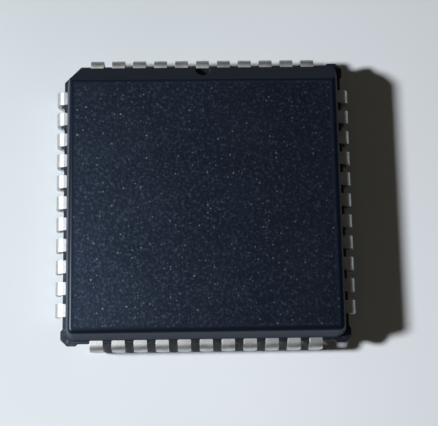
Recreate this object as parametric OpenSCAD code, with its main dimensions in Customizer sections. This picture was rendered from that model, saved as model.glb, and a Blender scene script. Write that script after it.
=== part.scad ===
// Leaded plastic chip carrier: a square moulded package with J-shaped leads on its four sides.
// Millimetres. The origin is the centre of the seating plane, +Z is up,
// and lead 1 is in the middle of the bevelled +Y side. Leads count counter-clockwise from above.

/* [Leads] */
// Number of leads on each side, odd so that lead 1 is in the middle
leads_per_side = 11; // [7:2:13]
// Spacing of the leads along a side
pitch = 1.27; // [1.2:0.01:1.4]
// Thickness of the lead frame
lead_t = 0.23; // [0.2:0.01:0.26]
// Width of a lead where it leaves the body
neck_w = 0.7; // [0.55:0.01:0.72]
// Width of a lead at its shoulder
shoulder_w = 0.77; // [0.72:0.01:0.85]
// Width of a lead at its foot
foot_w = 0.44; // [0.33:0.01:0.53]
// Height of the leads' upper face above the seating plane
shoulder_h = 2.64; // [2.4:0.01:2.9]
// Reach of the leads past the parting ledge
lead_reach = 0.47; // [0.42:0.01:0.6]
// Inner radius of the bend at the shoulder
bend_r = 0.22; // [0.15:0.01:0.3]
// Outer radius of the J at the foot
foot_r = 1.02; // [0.8:0.01:1.1]
// Sweep of the J past its lowest point, in degrees
foot_sweep = 65; // [50:1:75]
// Height above the seating plane at which the shoulder has narrowed to the foot
taper_h = 1.3; // [1.1:0.01:1.5]
// Length over which the shoulder narrows
taper_l = 0.3; // [0.15:0.01:0.4]

/* [Body] */
// Distance from the last lead of a row to the side of the body
row_margin = 1.945; // [1.7:0.005:2.3]
// Height from the seating plane to the top face
overall_h = 4.38; // [4.1:0.01:4.7]
// Height of the underside above the seating plane
standoff = 0.51; // [0.4:0.01:0.65]
// Slope of the moulded walls, in degrees from upright
draft = 11; // [5:0.5:13]
// Width of the parting ledge that stands out from the walls at lead level
ledge = 0.125; // [0.1:0.005:0.2]
// Drop of the ledge below the leads
ledge_drop = 0.08; // [0.04:0.01:0.12]
// Rise of the leads' upper face over the ledge
lead_rise = 0.03; // [0.02:0.01:0.06]
// Reach of the ledge's corners past its sides
ear = 0.12; // [0.05:0.01:0.2]
// Length of those corners along a side
ear_l = 0.85; // [0.7:0.01:1]
// Corner cut of the parting ledge, away from the lead-1 corner
ledge_cut = 0.37; // [0.2:0.01:0.5]
// Radius of the upright corners at the top face and at the underside
corner_r = 0.28; // [0.2:0.01:0.5]
// Radius of the edges round the top face and round the underside
edge_r = 0.25; // [0.05:0.01:0.3]
// Clearance round each lead tip in its pocket under the body
pocket_gap = 0.15; // [0.08:0.01:0.2]
// Diameter of the ejector mark under the body
ejector_d = 3; // [2:0.1:5]
// Depth of the ejector mark
ejector_depth = 0.08; // [0.05:0.01:0.15]

/* [Lead 1 marks] */
// Height of the 45 degree bevel along the lead-1 side
bevel_h = 1.07; // [0.8:0.01:1.2]
// Corner cut of the body at the corner left of lead 1
index_cut = 0.99; // [0.8:0.01:1.25]
// Width of the half-round notch in the bevel above lead 1
notch_w = 0.86; // [0.6:0.01:1]
// Depth of the notch in from the foot of the bevel
notch_depth = 0.7; // [0.5:0.01:0.8]
// Drop of the notch's floor below the foot of the bevel
notch_drop = 0.3; // [0.1:0.01:0.4]

/* [Chip inside] */
// Width of the die paddle
paddle_w = 6.5; // [5.6:0.1:7]
// Drop of the paddle below the leads
paddle_drop = 0.25; // [0.15:0.01:0.3]
// Width of the tie bars from the paddle to the body's corners
tie_w = 0.3; // [0.2:0.01:0.4]
// Thickness etched away from the top of the tie bars at the body's corners
tie_etch = 0.11; // [0.08:0.01:0.13]
// Length of the etched ends
tie_etch_l = 1.1; // [0.9:0.01:1.3]
// Width of the silicon die
die_w = 5; // [4:0.1:5.4]
// Thickness of the silicon die
die_t = 0.38; // [0.2:0.01:0.5]
// Thickness of the adhesive under the die
attach_t = 0.04; // [0.03:0.01:0.06]
// Width of adhesive that shows past the die
attach_margin = 0.12; // [0.05:0.01:0.2]
// Gap between the paddle and the tips of the inner leads
tip_gap = 0.45; // [0.35:0.01:0.7]
// Distance of the last inner lead tip from the paddle's corner
tip_end = 0.35; // [0.3:0.01:0.6]
// Width of an inner lead at its tip
tip_w = 0.32; // [0.25:0.01:0.36]
// Width of an inner lead at its knee
knee_w = 0.5; // [0.4:0.01:0.55]
// Depth of the knee inside the body's side
knee_depth = 0.9; // [0.7:0.01:1.1]
// Depth inside the body's side at which a lead keeps its neck width
root_depth = 0.55; // [0.4:0.01:0.6]
// Distance of the last bond pad from the die's corner
pad_end = 0.4; // [0.25:0.01:0.6]
// Distance of the bond pads from the edge of the die
pad_inset = 0.15; // [0.1:0.01:0.25]
// Distance of the bond on an inner lead from its tip
stitch_inset = 0.3; // [0.15:0.01:0.4]
// Diameter of the bond wire
wire_d = 0.04; // [0.03:0.005:0.05]
// Rise of the bond wire over a straight line between its ends
loop_h = 0.28; // [0.2:0.01:0.4]
// Diameter of the bonds at the ends of the wire
bond_d = 0.11; // [0.1:0.005:0.14]
// Height of the bonds at the ends of the wire
bond_h = 0.05; // [0.04:0.005:0.06]

/* [Hidden] */
$fn = 48;
// Faces that meet are placed to a tenth of a micrometre, so that they close
function close(x) = round(x * 10000) / 10000;
lead_count = 4 * leads_per_side;
middle = (leads_per_side - 1) / 2;
half_w = close(middle * pitch + row_margin);
wall_u = close(half_w - ledge);
// Reach past the model for cutting tools
past = pitch;

// Heights
lead_z = shoulder_h - lead_t;
upper_h = overall_h - lead_z;
ledge_z = shoulder_h - lead_rise;
lower_h = lead_z - standoff;
bevel_z = overall_h - bevel_h;
paddle_z = lead_z - paddle_drop;
attach_z = paddle_z + lead_t;
die_z = attach_z + attach_t;
die_top = die_z + die_t;

// Lead: u is the distance out from the package's centre
lead_u = half_w + lead_reach;
bend_u = lead_u - lead_t - bend_r;
bend_z = lead_z - bend_r;
foot_u = lead_u - foot_r;
root_u = half_w - root_depth;
knee_u = half_w - knee_depth;
// Where the shoulder starts, at the foot of the upper wall
exit_u = wall_u - lead_t * tan(draft);
tip_u = paddle_w / 2 + tip_gap;
foot_in = foot_r - lead_t;

// Spacings along the paddle and the die
tip_pitch = (paddle_w / 2 - tip_end) / middle;
pad_pitch = (die_w / 2 - pad_end) / middle;

// Pocket that a lead's tip stands in
pocket_from = foot_u - foot_r * sin(foot_sweep) - pocket_gap;
pocket_to = foot_u - sqrt(max(0, pow(foot_in, 2) - pow(foot_r - standoff, 2))) + pocket_gap;
pocket_top = foot_r - foot_in * cos(foot_sweep) + pocket_gap;
pocket_w = foot_w + 2 * pocket_gap;

// Body
upper_run = close(upper_h * tan(draft));
lower_run = close(lower_h * tan(draft));
round_r = min(edge_r, 0.9 * corner_r);
bevel_y = wall_u - (bevel_z - lead_z) * tan(draft);

function two_digits(n) = str(n < 10 ? "0" : "", n);
function lead_name(n) = str("lead_", two_digits(n));
// A lead's count from the start of the lead-1 side
function slot(n) = (n - 1 + middle) % lead_count;
function side_turn(n) = 90 * (floor(slot(n) / leads_per_side) + 1);
// A lead's place along its side, counted from the middle
function place(n) = slot(n) % leads_per_side - middle;
// Middle of an inner lead at the distance u from the centre
function finger_s(n, u) =
    place(n) * (tip_pitch + (pitch - tip_pitch) * (u - tip_u) / (knee_u - tip_u));

// Side view of a bent lead, u along x and height along y
module lead_profile() {
    translate([root_u, lead_z])
        square([bend_u - root_u, lead_t]);
    translate([bend_u, bend_z])
        intersection() {
            difference() {
                circle(r = bend_r + lead_t);
                circle(r = bend_r);
            }
            square(bend_r + lead_t);
        }
    translate([lead_u - lead_t, foot_r])
        square([lead_t, bend_z - foot_r]);
    translate([foot_u, foot_r])
        foot_profile();
}

// The J: a ring from its outer side, round its lowest point and up to its tip
module foot_profile() {
    far = 2 * foot_r;
    intersection() {
        difference() {
            circle(r = foot_r);
            circle(r = foot_in);
        }
        polygon([[0, 0], [far, 0], [far, -far], [-far, -far], [-far, -far / tan(foot_sweep)]]);
    }
}

// End view of a lead: a wide shoulder that narrows to the foot
module lead_front() {
    taper_top = taper_h + taper_l;
    polygon([
        [-foot_w / 2, -past], [foot_w / 2, -past], [foot_w / 2, taper_h],
        [shoulder_w / 2, taper_top], [shoulder_w / 2, overall_h],
        [-shoulder_w / 2, overall_h], [-shoulder_w / 2, taper_top], [-foot_w / 2, taper_h]
    ]);
}

// Plan of a lead's outer part: a neck to the foot of the wall, then the shoulder
module lead_plan() {
    step = (shoulder_w - neck_w) / 2;
    polygon([
        [0, -neck_w / 2], [exit_u, -neck_w / 2], [exit_u + step, -shoulder_w / 2],
        [lead_u + past, -shoulder_w / 2], [lead_u + past, shoulder_w / 2],
        [exit_u + step, shoulder_w / 2], [exit_u, neck_w / 2], [0, neck_w / 2]
    ]);
}

// The bent outer part of a lead
module lead_outside() {
    intersection() {
        rotate([90, 0, 0])
            linear_extrude(height = shoulder_w, center = true)
                lead_profile();
        rotate([90, 0, 90])
            linear_extrude(height = lead_u + past)
                lead_front();
        translate([0, 0, -past])
            linear_extrude(height = overall_h + past)
                lead_plan();
    }
}

// The flat inner part of a lead, from its neck to its tip by the paddle
module lead_finger(n) {
    root_s = place(n) * pitch;
    tip_s = finger_s(n, tip_u);
    translate([0, 0, lead_z])
        linear_extrude(height = lead_t)
            polygon([
                [root_u, root_s - neck_w / 2], [root_u, root_s + neck_w / 2],
                [knee_u, root_s + knee_w / 2], [tip_u, tip_s + tip_w / 2],
                [tip_u, tip_s - tip_w / 2], [knee_u, root_s - knee_w / 2]
            ]);
}

module lead(n) {
    color("silver")
        rotate([0, 0, side_turn(n)])
            union() {
                translate([0, place(n) * pitch, 0])
                    lead_outside();
                lead_finger(n);
            }
}

// Section of a moulded wall, out from the centre of its upright corner
module wall_section(h, run) {
    foot_x = corner_r + run;
    round_z = h - round_r;
    round_x = foot_x - round_z * tan(draft) - round_r / cos(draft);
    polygon([
        [0, 0], [foot_x, 0],
        [round_x + round_r * cos(draft), round_z + round_r * sin(draft)],
        [round_x, h], [0, h]
    ]);
    translate([round_x, round_z])
        intersection() {
            circle(r = round_r);
            square(2 * round_r);
        }
}

// One half of the body: the wall section swept round a square with rounded corners
module moulded_half(h, run) {
    corner = close(wall_u - corner_r - run);
    difference() {
        union() {
            translate([-corner, -corner, 0])
                cube([2 * corner, 2 * corner, h]);
            for (turn = [0:90:270])
                rotate([0, 0, turn])
                    translate([corner, corner, 0]) {
                        rotate([90, 0, 0])
                            linear_extrude(height = 2 * corner)
                                wall_section(h, run);
                        rotate_extrude(angle = 90)
                            wall_section(h, run);
                    }
        }
        index_tool();
    }
}

// Corner of the parting ledge in plan: two steps out to the ears and the cut between them
function ear_points() =
    let (start = half_w - ear_l, side = half_w + ear, cut = half_w + ear - ledge_cut)
    [[half_w, start], [side, start + ear], [side, cut], [cut, side], [start + ear, side], [start, half_w]];

// Plate of the parting ledge, with the leads sunk in its upper face
module parting_ledge() {
    index = half_w - index_cut;
    translate([0, 0, lead_z - ledge_drop])
        linear_extrude(height = ledge_z - lead_z + ledge_drop)
            polygon(concat(
                ear_points(),
                [[-index, half_w], [-half_w, index]],
                [for (p = ear_points()) -p],
                [for (p = ear_points()) [p[1], -p[0]]]
            ));
}

// Wedge taken off the top edge on the lead-1 side
module bevel_tool() {
    translate([0, bevel_y, bevel_z])
        rotate([-45, 0, 0])
            translate([-half_w - past, -3 * bevel_h, 0])
                cube([2 * (half_w + past), 6 * bevel_h, 3 * bevel_h]);
}

// Block taken off the corner left of lead 1, leaning with the wall that rises from z = 0
module index_tool() {
    rotate([0, 0, 135])
        translate([tie_end(135) - ledge, 0, 0])
            rotate([0, -draft, 0])
                translate([0, -half_w, -past])
                    cube([half_w, 2 * half_w, 2 * overall_h]);
}

// Half-round notch in the foot of the bevel
module notch_tool() {
    radius = notch_w / 2;
    translate([0, bevel_y - notch_depth + radius, bevel_z - notch_drop]) {
        cylinder(r = radius, h = overall_h);
        translate([-radius, 0, 0])
            cube([notch_w, half_w, overall_h]);
    }
}

// Pockets in the underside for the tips of the leads
module tip_pockets() {
    for (n = [1:lead_count])
        rotate([0, 0, side_turn(n)])
            translate([pocket_from, place(n) * pitch - pocket_w / 2, standoff - past])
                cube([pocket_to - pocket_from, pocket_w, pocket_top - standoff + past]);
}

// The plastic before the metal in it is taken away
module moulding() {
    difference() {
        union() {
            translate([0, 0, lead_z])
                moulded_half(upper_h, upper_run);
            parting_ledge();
            translate([0, 0, lead_z])
                mirror([0, 0, 1])
                    moulded_half(lower_h, lower_run);
        }
        bevel_tool();
        notch_tool();
        tip_pockets();
        translate([0, 0, standoff - past])
            cylinder(d = ejector_d, h = ejector_depth + past);
    }
}

module moulded_body() {
    color([0.11, 0.13, 0.17])
        difference() {
            moulding();
            for (n = [1:lead_count])
                lead(n);
            die_paddle();
            die_attach();
            silicon_die();
            bond_wires();
        }
}

// Distance along a diagonal to the cut corner that a tie bar ends at
function tie_end(turn) =
    (turn == 135 ? 2 * half_w - index_cut : 2 * (half_w + ear) - ledge_cut) / sqrt(2);

// Side view of a tie bar: out from the paddle, up to lead level and, thinned, on to the corner
module tie_profile(end) {
    from = (paddle_w - tie_w) / sqrt(2) - tie_w;
    knee = paddle_w / sqrt(2) + tip_gap;
    thin_z = shoulder_h - tie_etch;
    polygon([
        [from, paddle_z], [knee, paddle_z], [knee + paddle_drop, lead_z], [end, lead_z],
        [end, thin_z], [end - tie_etch_l, thin_z], [end - tie_etch_l, shoulder_h],
        [knee + paddle_drop, shoulder_h], [knee, attach_z], [from, attach_z]
    ]);
}

module die_paddle() {
    color("peru")
        union() {
            translate([-paddle_w / 2, -paddle_w / 2, paddle_z])
                cube([paddle_w, paddle_w, lead_t]);
            for (turn = [45:90:315])
                rotate([0, 0, turn])
                    rotate([90, 0, 0])
                        linear_extrude(height = tie_w, center = true)
                            tie_profile(tie_end(turn));
        }
}

module die_attach() {
    attach_w = die_w + 2 * attach_margin;
    color("lightgrey")
        translate([-attach_w / 2, -attach_w / 2, attach_z])
            cube([attach_w, attach_w, attach_t]);
}

module silicon_die() {
    color("slategrey")
        translate([-die_w / 2, -die_w / 2, die_z])
            cube([die_w, die_w, die_t]);
}

// One wire: a bond on the die at a, an arc, and a bond on an inner lead at b
module bond_wire(a, b) {
    up = [0, 0, bond_h / 2];
    span = b - a;
    level = norm([span[0], span[1]]);
    chord = norm(span);
    radius = (pow(chord / 2, 2) + pow(loop_h, 2)) / (2 * loop_h);
    half_sweep = 2 * atan(2 * loop_h / chord);
    translate(a)
        cylinder(d = bond_d, h = bond_h);
    translate(b)
        cylinder(d = bond_d, h = bond_h);
    translate(a + up)
        rotate([0, 0, atan2(span[1], span[0])])
            rotate([0, -atan2(span[2], level), 0])
                translate([chord / 2, 0, loop_h - radius])
                    rotate([90, 0, 0])
                        rotate([0, 0, 90 - half_sweep])
                            rotate_extrude(angle = 2 * half_sweep)
                                translate([radius, 0])
                                    circle(d = wire_d);
}

module bond_wires() {
    pad_u = die_w / 2 - pad_inset;
    stitch_u = tip_u + stitch_inset;
    color("gold")
        for (n = [1:lead_count])
            rotate([0, 0, side_turn(n)])
                bond_wire(
                    [pad_u, place(n) * pad_pitch, die_top],
                    [stitch_u, finger_s(n, stitch_u), shoulder_h]
                );
}

moulded_body();
die_paddle();
die_attach();
silicon_die();
bond_wires();
for (n = [1:lead_count])
    lead(n);
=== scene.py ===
# %% [markdown]
# # A leaded plastic chip carrier
# The object is a square block of black moulding compound with eleven J-shaped leads on each of its
# four sides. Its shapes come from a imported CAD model, which is loaded as a fixed frame. This lesson
# gives those shapes their looks: softened edges, the finish of each material, light and a camera.

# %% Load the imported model
import math

import bmesh
import bpy
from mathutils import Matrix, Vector


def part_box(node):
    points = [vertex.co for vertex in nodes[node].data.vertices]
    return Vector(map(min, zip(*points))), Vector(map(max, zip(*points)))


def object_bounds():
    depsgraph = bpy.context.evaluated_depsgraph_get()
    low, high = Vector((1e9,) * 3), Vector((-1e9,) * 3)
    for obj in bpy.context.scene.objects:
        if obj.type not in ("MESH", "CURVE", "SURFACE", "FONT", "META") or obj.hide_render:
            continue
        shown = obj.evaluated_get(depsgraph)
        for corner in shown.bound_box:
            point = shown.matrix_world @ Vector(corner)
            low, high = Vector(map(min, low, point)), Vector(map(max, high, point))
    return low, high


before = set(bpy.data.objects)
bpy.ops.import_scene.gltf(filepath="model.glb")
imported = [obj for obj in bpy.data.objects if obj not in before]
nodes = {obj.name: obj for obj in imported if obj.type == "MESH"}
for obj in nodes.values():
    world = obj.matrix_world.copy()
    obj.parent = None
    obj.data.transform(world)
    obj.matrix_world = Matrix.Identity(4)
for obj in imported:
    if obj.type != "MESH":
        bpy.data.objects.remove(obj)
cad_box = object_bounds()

MM = 0.001
low, high = cad_box
print("nodes:", len(nodes), "size in mm:", [round(side / MM, 2) for side in high - low])

# %% [markdown]
# ## Camera
# The chip is seen from almost straight above, a little from its front. The place, the turn and the
# focal length were solved from the known spacing of the 44 leads, so no shift is needed. The lens is
# only 62 mm away, so the camera's near limit has to be small.

# %% Camera at the picture's viewing angle
CAMERA_PLACE = Vector((-0.783, -11.308, 62.005)) * MM
CAMERA_TURN = (10.117, -1.404, -0.940)
FOCAL_LENGTH = 84.04
SENSOR_WIDTH = 36

camera = bpy.data.objects.new("camera", bpy.data.cameras.new("camera"))
camera.location = CAMERA_PLACE
camera.rotation_euler = [math.radians(angle) for angle in CAMERA_TURN]
camera.data.lens = FOCAL_LENGTH
camera.data.sensor_width = SENSOR_WIDTH
camera.data.clip_start = MM
bpy.context.scene.collection.objects.link(camera)
bpy.context.scene.camera = camera
print("camera height in mm:", round(camera.location.z / MM, 1))

# %% [markdown]
# ## Building with nodes
# Every finish below is a network of nodes. Adding a node, setting it and linking it takes many lines,
# so a few small helpers do that. A value given to them is either a plain number or another node's
# output, and each of them hands back what the next step needs.

# %% Helpers for nodes
NOISE_DETAIL = 3.0


def add_node(tree, kind, inputs=None, **settings):
    """Adds a node; each input is a plain value or the output socket that feeds it."""
    node = tree.nodes.new(kind)
    for name, value in settings.items():
        setattr(node, name, value)
    for socket, value in (inputs or {}).items():
        if isinstance(value, bpy.types.NodeSocket):
            tree.links.new(value, node.inputs[socket])
        else:
            node.inputs[socket].default_value = value
    return node


def calc(tree, operation, first, second=0.0):
    """The result of one sum on two values."""
    return add_node(tree, "ShaderNodeMath", {0: first, 1: second}, operation=operation).outputs[0]


def fade(tree, value, start, end, first=0.0, last=1.0):
    """Goes smoothly from first to last while the value goes from start to end."""
    inputs = {"Value": value, "From Min": start, "From Max": end, "To Min": first, "To Max": last}
    node = add_node(tree, "ShaderNodeMapRange", inputs, interpolation_type="SMOOTHSTEP")
    return node.outputs["Result"]


def noise(tree, place, scale, roughness=0.5):
    """A random value that changes smoothly from place to place."""
    inputs = {"Vector": place, "Scale": scale, "Detail": NOISE_DETAIL, "Roughness": roughness}
    return add_node(tree, "ShaderNodeTexNoise", inputs).outputs[0]


def mix_colours(tree, share, first, second):
    """First colour where the share is 0, second where it is 1."""
    inputs = {0: share, 6: first, 7: second}
    return add_node(tree, "ShaderNodeMix", inputs, data_type="RGBA").outputs[2]


print("helpers:", [helper.__name__ for helper in (add_node, calc, fade, noise, mix_colours)])

# %% [markdown]
# ## Floor
# The chip lies on a pale sheet of paper, which is one large face with a matt finish. Its tone rises
# slowly towards the right front, where the lamp's light gets weaker, so that the sheet looks even. A
# soft noise clouds it, because no paper is one flat colour. From below it is see-through, so that the
# chip's underside can be looked at: the node that knows which side is seen stays in the material.

# %% Material: floor paper
CLOUDS_PER_METRE = 45.0
CLOUD_SHARE = 0.2
TONE_SLANT = 0.32
TONE_REACH = 25 * MM
PAPER_NEAR_LAMP = (0.44, 0.49, 0.52, 1)
PAPER_FAR_FROM_LAMP = (0.86, 0.91, 0.98, 1)


def new_material(name):
    """An empty material with a Principled shader on its surface; returns the three."""
    material = bpy.data.materials.new(name)
    material.use_nodes = True
    tree = material.node_tree
    tree.nodes.clear()
    shader = tree.nodes.new("ShaderNodeBsdfPrincipled")
    output = tree.nodes.new("ShaderNodeOutputMaterial")
    tree.links.new(shader.outputs[0], output.inputs["Surface"])
    return material, tree, shader


floor_paper, tree, shader = new_material("floor_paper")
place = add_node(tree, "ShaderNodeTexCoord").outputs["Object"]
cloud = calc(tree, "MULTIPLY", noise(tree, place, CLOUDS_PER_METRE), CLOUD_SHARE)
across, along, _ = add_node(tree, "ShaderNodeSeparateXYZ", {0: place}).outputs
slant = calc(tree, "SUBTRACT", across, calc(tree, "MULTIPLY", along, TONE_SLANT))
tone = calc(tree, "MULTIPLY", fade(tree, slant, -TONE_REACH, TONE_REACH), 1 - CLOUD_SHARE)
tint = mix_colours(tree, calc(tree, "ADD", cloud, tone), PAPER_NEAR_LAMP, PAPER_FAR_FROM_LAMP)
tree.links.new(tint, shader.inputs["Base Color"])
shader.inputs["Roughness"].default_value = 0.85
shader.inputs["Specular IOR Level"].default_value = 0.2
below = add_node(tree, "ShaderNodeNewGeometry").outputs["Backfacing"]
clear = add_node(tree, "ShaderNodeBsdfTransparent").outputs[0]
either = add_node(tree, "ShaderNodeMixShader", {0: below, 1: shader.outputs[0], 2: clear})
tree.links.new(either.outputs[0], tree.nodes["Material Output"].inputs["Surface"])
print("material:", floor_paper.name, len(tree.nodes), "nodes")

# %% [markdown]
# ## The sheet itself
# One square face is enough for a flat sheet. It is far larger than the chip, so that its edges stay out
# of the picture.

# %% Floor
FLOOR_SIDE = 1.2

mesh = bpy.data.meshes.new("floor")
sheet = bmesh.new()
bmesh.ops.create_grid(sheet, x_segments=1, y_segments=1, size=FLOOR_SIDE / 2)
sheet.to_mesh(mesh)
sheet.free()
mesh.materials.append(floor_paper)
floor = bpy.data.objects.new("floor", mesh)
bpy.context.scene.collection.objects.link(floor)
print("floor side in m:", FLOOR_SIDE)

# %% [markdown]
# ## Lamp
# One small soft lamp stands close by on the left and throws the chip's shadow to the right. Because
# it is near, the shadow spreads a little and the light fades across the top face. The lamp's power is
# worked out from its distance and height, so that a white card on the floor where the chip lies would
# just reach white.

# %% Lamp
LAMP_BEARING = math.radians(186.5)
LAMP_HEIGHT = math.radians(48.0)
LAMP_DISTANCE = 0.097
LAMP_WIDTH = 0.011

toward_lamp = Vector((math.cos(LAMP_BEARING) * math.cos(LAMP_HEIGHT),
                      math.sin(LAMP_BEARING) * math.cos(LAMP_HEIGHT),
                      math.sin(LAMP_HEIGHT)))
lamp = bpy.data.objects.new("lamp", bpy.data.lights.new("lamp", "AREA"))
lamp.data.shape = "DISK"
lamp.data.size = LAMP_WIDTH
lamp.data.energy = (math.pi * LAMP_DISTANCE) ** 2 / math.sin(LAMP_HEIGHT)
lamp.location = toward_lamp * LAMP_DISTANCE
lamp.rotation_euler = toward_lamp.to_track_quat("Z", "Y").to_euler()
bpy.context.scene.collection.objects.link(lamp)
print("lamp power in W:", round(lamp.data.energy, 2))

# %% [markdown]
# ## Sky
# The rest of the light is a plain dim sky, brighter overhead than at the horizon, as in a room. It
# fills the shadow and gives the bent metal something to reflect.

# %% Sky
SKY_OVERHEAD = (0.048, 0.042, 0.031, 1)
SKY_HORIZON = (0.008, 0.0075, 0.006, 1)
SKY_RISE = (0.1, 0.8)

sky = bpy.data.worlds.new("sky")
sky.use_nodes = True
tree = sky.node_tree
tree.nodes.clear()
direction = add_node(tree, "ShaderNodeTexCoord").outputs["Generated"]
rise = add_node(tree, "ShaderNodeSeparateXYZ", {0: direction}).outputs["Z"]
colour = mix_colours(tree, fade(tree, rise, *SKY_RISE), SKY_HORIZON, SKY_OVERHEAD)
glow = add_node(tree, "ShaderNodeBackground", {"Color": colour})
add_node(tree, "ShaderNodeOutputWorld", {"Surface": glow.outputs[0]})
bpy.context.scene.world = sky
bpy.context.scene.view_settings.view_transform = "Standard"
print("sky:", len(tree.nodes), "nodes")

# %% [markdown]
# ## Where on the chip a point is
# The finishes change with place: the middle of the top is matt and the walls are smoother. All of
# them need a point's place in millimetres, and the body's finish also needs its height and how far its
# face looks up. What several finishes share becomes a node group, and two more helpers make and place
# such groups. This one reads the object's own coordinates, so the finish stays put when the camera moves.

# %% Group: place on the chip
FLOAT = "NodeSocketFloat"
VECTOR = "NodeSocketVector"


def new_group(name, inputs, outputs, kind="ShaderNodeTree"):
    """An empty node group with its sockets; returns it with its inner sockets."""
    group = bpy.data.node_groups.new(name, kind)
    for label, (holds, default) in inputs.items():
        socket = group.interface.new_socket(label, in_out="INPUT", socket_type=holds)
        if default is not None:
            socket.default_value = default
    for label, holds in outputs.items():
        group.interface.new_socket(label, in_out="OUTPUT", socket_type=holds)
    entry = group.nodes.new("NodeGroupInput").outputs
    leave = group.nodes.new("NodeGroupOutput").inputs
    return group, entry, leave


def place_group(tree, group, inputs=None):
    """Puts a group into a material and returns its outputs."""
    return add_node(tree, "ShaderNodeGroup", inputs, node_tree=group).outputs


chip_place, _, leave = new_group(
    "chip_place", {}, {"Position": VECTOR, "Height": FLOAT, "Upward": FLOAT})
coordinates = add_node(chip_place, "ShaderNodeTexCoord").outputs
scaled = add_node(chip_place, "ShaderNodeVectorMath", {0: coordinates["Object"], "Scale": 1 / MM},
                  operation="SCALE").outputs[0]
height = add_node(chip_place, "ShaderNodeSeparateXYZ", {0: scaled}).outputs["Z"]
upward = add_node(chip_place, "ShaderNodeSeparateXYZ", {0: coordinates["Normal"]}).outputs["Z"]
chip_place.links.new(scaled, leave["Position"])
chip_place.links.new(height, leave["Height"])
chip_place.links.new(upward, leave["Upward"])
print("group:", chip_place.name, [socket.name for socket in chip_place.interface.items_tree])

# %% [markdown]
# ## Fine grain
# Moulding compound copies the spark-eroded steel of its mould, and matt tin grows in small crystals.
# Both show as a fine grain with single brighter specks in it. A picture could hold that, but a noise
# and a cell pattern need no file and stay sharp at any distance. The peaks of the noise come out by
# themselves too, for the lighter grains. Cells give each speck its own brightness, and raising that to
# a high power lets only a few of them stand out. A much slower noise makes clouds.

# %% Group: grain and specks
GRAIN_ROUGHNESS = 0.65
GRAIN_RANGE = (0.25, 0.75)
PEAK_RANGE = (0.52, 0.75)
CLOUD_RANGE = (0.3, 0.7)
SPECK_CORE = 0.05

fine_grain, entry, leave = new_group(
    "fine_grain",
    {"Position": (VECTOR, None), "Grains per mm": (FLOAT, 9.0), "Specks per mm": (FLOAT, 5.0),
     "Speck size": (FLOAT, 0.45), "Rarity": (FLOAT, 15.0), "Clouds per mm": (FLOAT, 0.3)},
    {"Grain": FLOAT, "Peaks": FLOAT, "Specks": FLOAT, "Clouds": FLOAT})
grain = noise(fine_grain, entry["Position"], entry["Grains per mm"], GRAIN_ROUGHNESS)
cloud = noise(fine_grain, entry["Position"], entry["Clouds per mm"])
cells = add_node(fine_grain, "ShaderNodeTexVoronoi",
                 {"Vector": entry["Position"], "Scale": entry["Specks per mm"]}).outputs
chance = add_node(fine_grain, "ShaderNodeSeparateColor", {0: cells["Color"]}).outputs[0]
bright = calc(fine_grain, "POWER", chance, entry["Rarity"])
spot = fade(fine_grain, cells["Distance"], entry["Speck size"], SPECK_CORE)
fine_grain.links.new(fade(fine_grain, grain, *GRAIN_RANGE), leave["Grain"])
fine_grain.links.new(fade(fine_grain, grain, *PEAK_RANGE), leave["Peaks"])
fine_grain.links.new(calc(fine_grain, "MULTIPLY", bright, spot), leave["Specks"])
fine_grain.links.new(fade(fine_grain, cloud, *CLOUD_RANGE), leave["Clouds"])
print("group:", fine_grain.name, len(fine_grain.nodes), "nodes")

# %% [markdown]
# ## Worn edges
# Handling polishes the edges of plastic and metal alike. The Bevel node gives the normal that a
# rounded edge would have, so where it differs from the face's own normal there is an edge. A noise
# breaks the line up, because wear is never even.

# %% Group: worn edges
BEVEL_SAMPLES = 6
EDGE_RANGE = (0.995, 0.85)
BREAK_RANGE = (0.4, 0.65)

worn_edges, entry, leave = new_group(
    "worn_edges",
    {"Position": (VECTOR, None), "Reach": (FLOAT, 0.05 * MM), "Breaks per mm": (FLOAT, 3.0)},
    {"Wear": FLOAT})
rounded = add_node(worn_edges, "ShaderNodeBevel", {"Radius": entry["Reach"]},
                   samples=BEVEL_SAMPLES).outputs[0]
own = add_node(worn_edges, "ShaderNodeNewGeometry").outputs["Normal"]
agree = add_node(worn_edges, "ShaderNodeVectorMath", {0: rounded, 1: own},
                 operation="DOT_PRODUCT").outputs["Value"]
edge = fade(worn_edges, agree, *EDGE_RANGE)
breaks = fade(worn_edges, noise(worn_edges, entry["Position"], entry["Breaks per mm"]), *BREAK_RANGE)
worn_edges.links.new(calc(worn_edges, "MULTIPLY", edge, breaks), leave["Wear"])
print("group:", worn_edges.name, len(worn_edges.nodes), "nodes")

# %% [markdown]
# ## Moulding compound: matt and smooth regions
# The body is epoxy filled with ground glass and soot. Spark-eroded steel left the middle of its top,
# its underside and the ledge matt. The margin around that field, the drafted walls and the bevel come
# from smoother steel. Cutting the mesh apart would be one way to give them two finishes, but here the
# distance to the field's outline, in millimetres, and the way a face looks tell the regions apart.

# %% Moulding compound: regions
MATT_HALF = 7.45
MATT_BACK = 6.72
FIELD_RIM = (0.15, -0.10)
LEDGE_RIM = (0.40, 0.55)
LEVEL_RANGE = (0.95, 0.99)

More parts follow.
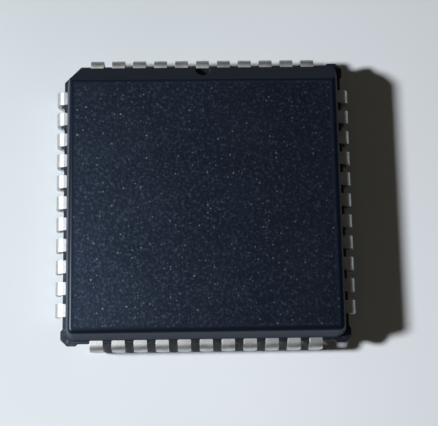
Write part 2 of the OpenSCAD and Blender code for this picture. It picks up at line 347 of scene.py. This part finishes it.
moulding_compound, tree, shader = new_material("moulding_compound")
place = place_group(tree, chip_place)
across, along, _ = add_node(tree, "ShaderNodeSeparateXYZ", {0: place["Position"]}).outputs
beside = calc(tree, "SUBTRACT", calc(tree, "ABSOLUTE", across), MATT_HALF)
before = calc(tree, "SUBTRACT", calc(tree, "MULTIPLY", along, -1.0), MATT_HALF)
behind = calc(tree, "SUBTRACT", along, MATT_BACK)
outside = calc(tree, "MAXIMUM", beside, calc(tree, "MAXIMUM", before, behind))
field = fade(tree, outside, *FIELD_RIM)
ledge = fade(tree, outside, *LEDGE_RIM)
level = fade(tree, calc(tree, "ABSOLUTE", place["Upward"]), *LEVEL_RANGE)
matt = calc(tree, "MULTIPLY", level, calc(tree, "MAXIMUM", field, ledge))
print("regions:", len(tree.nodes), "nodes")

# %% [markdown]
# ## Moulding compound: colour
# Ground glass gives the matt regions a bluish sheen that follows the lamp. A share of Metallic over a
# dark blue-grey does that, while a lighter base colour would look the same from everywhere. On it lie
# lighter grains of about a tenth of a millimetre and glinting specks. The smooth regions are nearly
# black, the steep walls a dull grey, and handling has rubbed their edges.

# %% Moulding compound: colour
SMOOTH_TONE = (0.0022, 0.0045, 0.0122, 1)
WALL_TONE = (0.042, 0.054, 0.076, 1)
WALL_RANGE = (0.5, 0.3)
RUBBED_TONE = (0.030, 0.036, 0.046, 1)
RUBBED_SHARE = 0.25
SHEEN_DARK = (0.0230, 0.0335, 0.0575, 1)
SHEEN_LIGHT = (0.0275, 0.0395, 0.0650, 1)
LEDGE_TONE = (0.040, 0.049, 0.068, 1)
GRAIN_TONE = (0.064, 0.086, 0.132, 1)
SPECK_TONE = (0.32, 0.37, 0.44, 1)
SHEEN_METALLIC = 0.9

marks = place_group(tree, fine_grain, {"Position": place["Position"], "Grains per mm": 6.0,
                                       "Specks per mm": 6.0})
worn = place_group(tree, worn_edges, {"Position": place["Position"], "Reach": 0.05 * MM})
steep = fade(tree, place["Upward"], *WALL_RANGE)
ground = mix_colours(tree, steep, SMOOTH_TONE, WALL_TONE)
wear = calc(tree, "MULTIPLY", worn["Wear"], RUBBED_SHARE)
rubbed = mix_colours(tree, wear, ground, RUBBED_TONE)
sheen = mix_colours(tree, marks["Clouds"], SHEEN_DARK, SHEEN_LIGHT)
# The ledge gets a lighter sheen colour than the field.
ledge_lighter = mix_colours(tree, ledge, sheen, LEDGE_TONE)
peaked = mix_colours(tree, marks["Peaks"], ledge_lighter, GRAIN_TONE)
glinting = mix_colours(tree, marks["Specks"], peaked, SPECK_TONE)
tree.links.new(mix_colours(tree, matt, rubbed, glinting), shader.inputs["Base Color"])
tree.links.new(calc(tree, "MULTIPLY", matt, SHEEN_METALLIC), shader.inputs["Metallic"])
print("colour:", len(tree.nodes), "nodes")

# %% [markdown]
# ## Moulding compound: gloss and relief
# The margin and the bevel near the top are glossier than the walls. In the matt regions the grain
# changes the roughness and lifts the surface a little, so that single grains catch the light.

# %% Moulding compound: gloss and relief
body_low, body_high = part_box("moulded_body")
TOP = body_high.z / MM
UPPER_HEIGHT = (TOP - 0.35, TOP - 0.15)
UPPER_FACING = (0.75, 0.90)
WALL_ROUGHNESS = 0.72
MARGIN_ROUGHNESS = 0.38
GRAIN_ROUGHNESSES = (0.38, 0.47)
SMOOTH_RELIEF = 0.2
GRAIN_DEPTH = 0.004 * MM

upper = calc(tree, "MULTIPLY", fade(tree, place["Height"], *UPPER_HEIGHT),
             fade(tree, place["Upward"], *UPPER_FACING))
smooth = fade(tree, upper, 0, 1, WALL_ROUGHNESS, MARGIN_ROUGHNESS)
grainy = fade(tree, marks["Grain"], 0, 1, *GRAIN_ROUGHNESSES)
rough = add_node(tree, "ShaderNodeMix", {0: matt, 2: smooth, 3: grainy}).outputs[0]
tree.links.new(rough, shader.inputs["Roughness"])
shader.inputs["IOR"].default_value = 1.37
shader.inputs["Specular Tint"].default_value = (0.66, 0.82, 1.0, 1)
relief = calc(tree, "MULTIPLY", marks["Grain"], fade(tree, matt, 0, 1, SMOOTH_RELIEF, 1.0))
bump = add_node(tree, "ShaderNodeBump", {"Height": relief, "Strength": 1.0, "Distance": GRAIN_DEPTH})
tree.links.new(bump.outputs[0], shader.inputs["Normal"])
print("material:", moulding_compound.name, len(tree.nodes), "nodes")

# %% [markdown]
# ## Tin plate
# The leads are stamped from copper alloy, plated with matt tin and then bent. The plating is a satin
# grey with fine crystals and cloudy stains, and handling rubs its edges bright. A stamped edge is never
# sharp, so the Bevel node rounds the edges here, in the shading: modifiers that cut new faces along the
# bends would also tilt the bent faces' normals, and with them the highlights.

# %% Material: tin plate
TIN_DARK = (0.60, 0.625, 0.64, 1)
TIN_LIGHT = (0.73, 0.75, 0.76, 1)
CRYSTAL_TONE = (0.40, 0.42, 0.43, 1)
CRYSTAL_SHARE = 0.6
BRIGHT_TONE = (0.80, 0.82, 0.83, 1)
BRIGHT_SHARE = 0.5
TIN_ROUGHNESSES = (0.52, 0.42)
CRYSTAL_ROUGHNESS = 0.08
LEAD_EDGE = 0.03 * MM

tin_plate, tree, shader = new_material("tin_plate")
place = place_group(tree, chip_place)
marks = place_group(tree, fine_grain, {"Position": place["Position"], "Grains per mm": 11.0,
                                       "Specks per mm": 7.0, "Clouds per mm": 1.6})
worn = place_group(tree, worn_edges, {"Position": place["Position"], "Reach": LEAD_EDGE,
                                      "Breaks per mm": 5.0})
satin = mix_colours(tree, marks["Clouds"], TIN_DARK, TIN_LIGHT)
crystal = calc(tree, "MULTIPLY", marks["Grain"], CRYSTAL_SHARE)
wear = calc(tree, "MULTIPLY", worn["Wear"], BRIGHT_SHARE)
rubbed = mix_colours(tree, wear, mix_colours(tree, crystal, satin, CRYSTAL_TONE), BRIGHT_TONE)
tree.links.new(rubbed, shader.inputs["Base Color"])
rough = calc(tree, "ADD", fade(tree, marks["Clouds"], 0, 1, *TIN_ROUGHNESSES),
             calc(tree, "MULTIPLY", marks["Grain"], CRYSTAL_ROUGHNESS))
tree.links.new(rough, shader.inputs["Roughness"])
shader.inputs["Metallic"].default_value = 1.0
rounded = add_node(tree, "ShaderNodeBevel", {"Radius": LEAD_EDGE}, samples=BEVEL_SAMPLES).outputs[0]
bump = add_node(tree, "ShaderNodeBump", {"Height": marks["Grain"], "Normal": rounded, "Strength": 0.6,
                                         "Distance": GRAIN_DEPTH})
tree.links.new(bump.outputs[0], shader.inputs["Normal"])
print("material:", tin_plate.name, len(tree.nodes), "nodes")

# %% [markdown]
# ## What is inside
# The paddle of the lead frame, the adhesive, the die and its gold wires are sealed in the moulding.
# Only the cut ends of the paddle's tie bars come out at the corners, as small copper faces. They get
# simple finishes from the same grain, each with its own colour and gloss.

# %% Materials: inner pieces
GLOSS_CHANGE = 0.1


def inner_finish(name, dark, light, metallic, roughness, grains):
    """A finish whose colour goes from dark to light with the grain and its clouds."""
    material, tree, shader = new_material(name)
    place = place_group(tree, chip_place)
    marks = place_group(tree, fine_grain, {"Position": place["Position"], "Grains per mm": grains})
    both = calc(tree, "MULTIPLY", calc(tree, "ADD", marks["Grain"], marks["Clouds"]), 0.5)
    tree.links.new(mix_colours(tree, both, dark, light), shader.inputs["Base Color"])
    rough = fade(tree, both, 0, 1, roughness + GLOSS_CHANGE, roughness)
    tree.links.new(rough, shader.inputs["Roughness"])
    shader.inputs["Metallic"].default_value = metallic
    print("material:", name, len(tree.nodes), "nodes")
    return material


frame_copper = inner_finish("frame_copper", (0.45, 0.20, 0.11, 1), (0.72, 0.38, 0.24, 1),
                            metallic=1.0, roughness=0.35, grains=10.0)
silver_paste = inner_finish("silver_paste", (0.42, 0.42, 0.41, 1), (0.62, 0.61, 0.59, 1),
                            metallic=0.6, roughness=0.55, grains=20.0)
die_silicon = inner_finish("die_silicon", (0.10, 0.11, 0.13, 1), (0.19, 0.20, 0.23, 1),
                           metallic=0.4, roughness=0.15, grains=25.0)
wire_gold = inner_finish("wire_gold", (0.80, 0.52, 0.16, 1), (0.95, 0.70, 0.30, 1),
                         metallic=1.0, roughness=0.22, grains=20.0)

# %% [markdown]
# ## Dressing the pieces
# Each piece gets its material.

# %% Materials on the pieces
def dress(piece, material):
    """Gives a piece its material."""
    piece.data.materials.clear()
    piece.data.materials.append(material)


dress(nodes["moulded_body"], moulding_compound)
leads = [nodes[name] for name in sorted(nodes) if name.startswith("lead_")]
for piece in leads:
    dress(piece, tin_plate)
dress(nodes["die_paddle"], frame_copper)
dress(nodes["die_attach"], silver_paste)
dress(nodes["silicon_die"], die_silicon)
dress(nodes["bond_wires"], wire_gold)
print("dressed:", len(leads), "leads and", len(nodes) - len(leads), "other pieces")

# %% [markdown]
# ## Edges that show
# Inside the body run narrow channels for the leads and the wires. Nobody sees them, and rounding would
# crumple them, so only edges on the outside are softened. Picking them by hand would take long: a small
# tree of geometry nodes marks every edge that is sharp and lies near the body's outside. The mark has
# the name under which a bevel looks for an edge's weight.

# %% Node tree: edges to soften
SKIN = 0.9 * MM
SHARP_ANGLE = math.radians(28)
GEOMETRY = "NodeSocketGeometry"

edges_to_soften, entry, leave = new_group(
    "edges_to_soften", {"Geometry": (GEOMETRY, None)}, {"Geometry": GEOMETRY}, "GeometryNodeTree")
tree = edges_to_soften
place = add_node(tree, "GeometryNodeInputPosition").outputs[0]
across, along, rise = add_node(tree, "ShaderNodeSeparateXYZ", {0: place}).outputs
beside = calc(tree, "SUBTRACT", body_high.x, calc(tree, "ABSOLUTE", across))
behind = calc(tree, "SUBTRACT", body_high.y, calc(tree, "ABSOLUTE", along))
above = calc(tree, "SUBTRACT", body_high.z, rise)
under = calc(tree, "SUBTRACT", rise, body_low.z)
depth = calc(tree, "MINIMUM", calc(tree, "MINIMUM", beside, behind),
             calc(tree, "MINIMUM", above, under))
angle = add_node(tree, "GeometryNodeInputMeshEdgeAngle").outputs["Unsigned Angle"]
soften = calc(tree, "MULTIPLY", calc(tree, "LESS_THAN", depth, SKIN),
              calc(tree, "GREATER_THAN", angle, SHARP_ANGLE))
marked = add_node(tree, "GeometryNodeStoreNamedAttribute",
                  {"Geometry": entry["Geometry"], "Name": "bevel_weight_edge", "Value": soften},
                  data_type="FLOAT", domain="EDGE")
tree.links.new(marked.outputs[0], leave["Geometry"])
print("node tree:", edges_to_soften.name, len(tree.nodes), "nodes")

# %% [markdown]
# ## Soft edges on the moulding
# The CAD edges of the body are perfectly sharp, and moulded ones never are, because the mould's steel
# is worn. The mesh itself isn't touched: modifiers join its split corners, merge its flat triangles and
# round the marked edges by a few hundredths of a millimetre. Weighted normals keep the flat faces flat.

# %% Modifiers on the moulding
WELD_REACH = 0.002 * MM
FLAT_ANGLE = math.radians(0.5)
SOFT_EDGE = 0.025 * MM

moulding = nodes["moulded_body"]
moulding.modifiers.new("join_corners", "WELD").merge_threshold = WELD_REACH
flat = moulding.modifiers.new("merge_flats", "DECIMATE")
flat.decimate_type = "DISSOLVE"
flat.angle_limit = FLAT_ANGLE
moulding.modifiers.new("mark_edges", "NODES").node_group = edges_to_soften
bevel = moulding.modifiers.new("soft_edges", "BEVEL")
bevel.width = SOFT_EDGE
bevel.segments = 2
bevel.limit_method = "WEIGHT"
bevel.use_clamp_overlap = False
moulding.modifiers.new("flat_faces", "WEIGHTED_NORMAL").keep_sharp = True
print("modifiers:", [step.name for step in moulding.modifiers])
